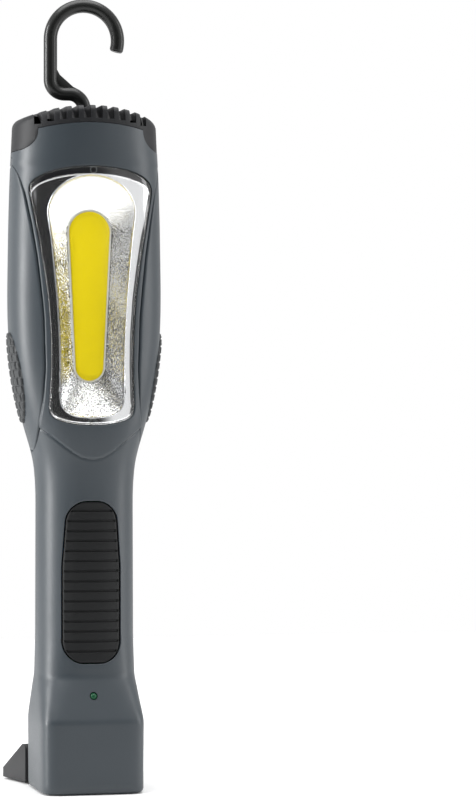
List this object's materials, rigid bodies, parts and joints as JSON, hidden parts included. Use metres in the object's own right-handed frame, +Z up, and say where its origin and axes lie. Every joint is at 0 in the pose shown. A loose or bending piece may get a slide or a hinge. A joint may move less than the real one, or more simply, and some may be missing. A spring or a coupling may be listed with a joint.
{
  "type": "work light",
  "caption": "Cordless hand-held light strip with a swivel hook, vented cap, chrome reflector under a clear lens, ribbed push pad and folding magnetic foot.",
  "frame": {"origin": "centre of the square base's lower face, under the body's axis", "axes": "+Z up along the body, the light shines towards -Y, +X is to the right seen from the front"},
  "size_m": [0.0644, 0.068, 0.3146],
  "materials": {
    "housing": "satin moulded slate grey",
    "dark_plastic": "satin moulded charcoal",
    "hook_plastic": "glossy black",
    "grip_rubber": "soft matt",
    "pad_rubber": "matt black",
    "clear_lens": "clear moulded",
    "mirror_coat": "vacuum plated, stippled in the bowl",
    "phosphor": "smooth yellow gel",
    "aluminium": "plain",
    "steel": "bright zinc",
    "circuit_board": "solder mask",
    "chips": "moulded",
    "wire": "plain",
    "green_led": "clear tinted",
    "cell_wrap": "shrink wrap",
    "inner_plastic": "moulded",
    "magnet": "nickel plated"
  },
  "bodies": {
    "light": {"front_housing": "housing", "rear_housing": "housing", "left_wing": "housing", "right_wing": "housing", "left_grip": "grip_rubber", "right_grip": "grip_rubber", "vent_cap": "dark_plastic", "lens": "clear_lens", "lens_gasket": "pad_rubber", "reflector": "mirror_coat", "cob_board": "aluminium", "cob_phosphor": "phosphor", "heat_sink": "aluminium", "heat_sink_screws": "steel", "led_leads": "wire", "tact_switch": "steel", "main_board": "circuit_board", "charge_board": "circuit_board", "board_parts": "chips", "usb_socket": "steel", "indicator_led": "green_led", "battery_cell": "cell_wrap", "battery_cradle": "inner_plastic", "battery_contacts": "steel", "battery_leads": "wire", "case_screws": "steel"},
    "hook": {"hook": "hook_plastic", "hook_washer": "steel", "hook_screw": "steel"},
    "switch_pad": {"switch_pad": "pad_rubber", "switch_plunger": "inner_plastic"},
    "port_cover": {"port_cover": "pad_rubber"},
    "stand_foot": {"stand_foot": "dark_plastic", "foot_pin": "steel", "foot_magnet": "magnet"}
  },
  "joints": [
    {"name": "hook_swivel", "type": "hinge", "parent": "light", "child": "hook", "pos_m": [0, 0, 0.268], "axis": [0, 0, 1], "continuous": true},
    {"name": "pad_press", "type": "slide", "parent": "light", "child": "switch_pad", "axis": [0, 1, 0], "range_m": [0, 0.001], "stiffness_N_per_m": 1200, "springref_m": -0.0005},
    {"name": "port_cover_hinge", "type": "hinge", "parent": "light", "child": "port_cover", "pos_m": [0, 0.0151, 0.0444], "axis": [-1, 0, 0], "range_deg": [0, 120]},
    {"name": "foot_hinge", "type": "hinge", "parent": "light", "child": "stand_foot", "pos_m": [0, 0.0206, 0.013], "axis": [1, 0, 0], "range_deg": [0, 90]}
  ]
}
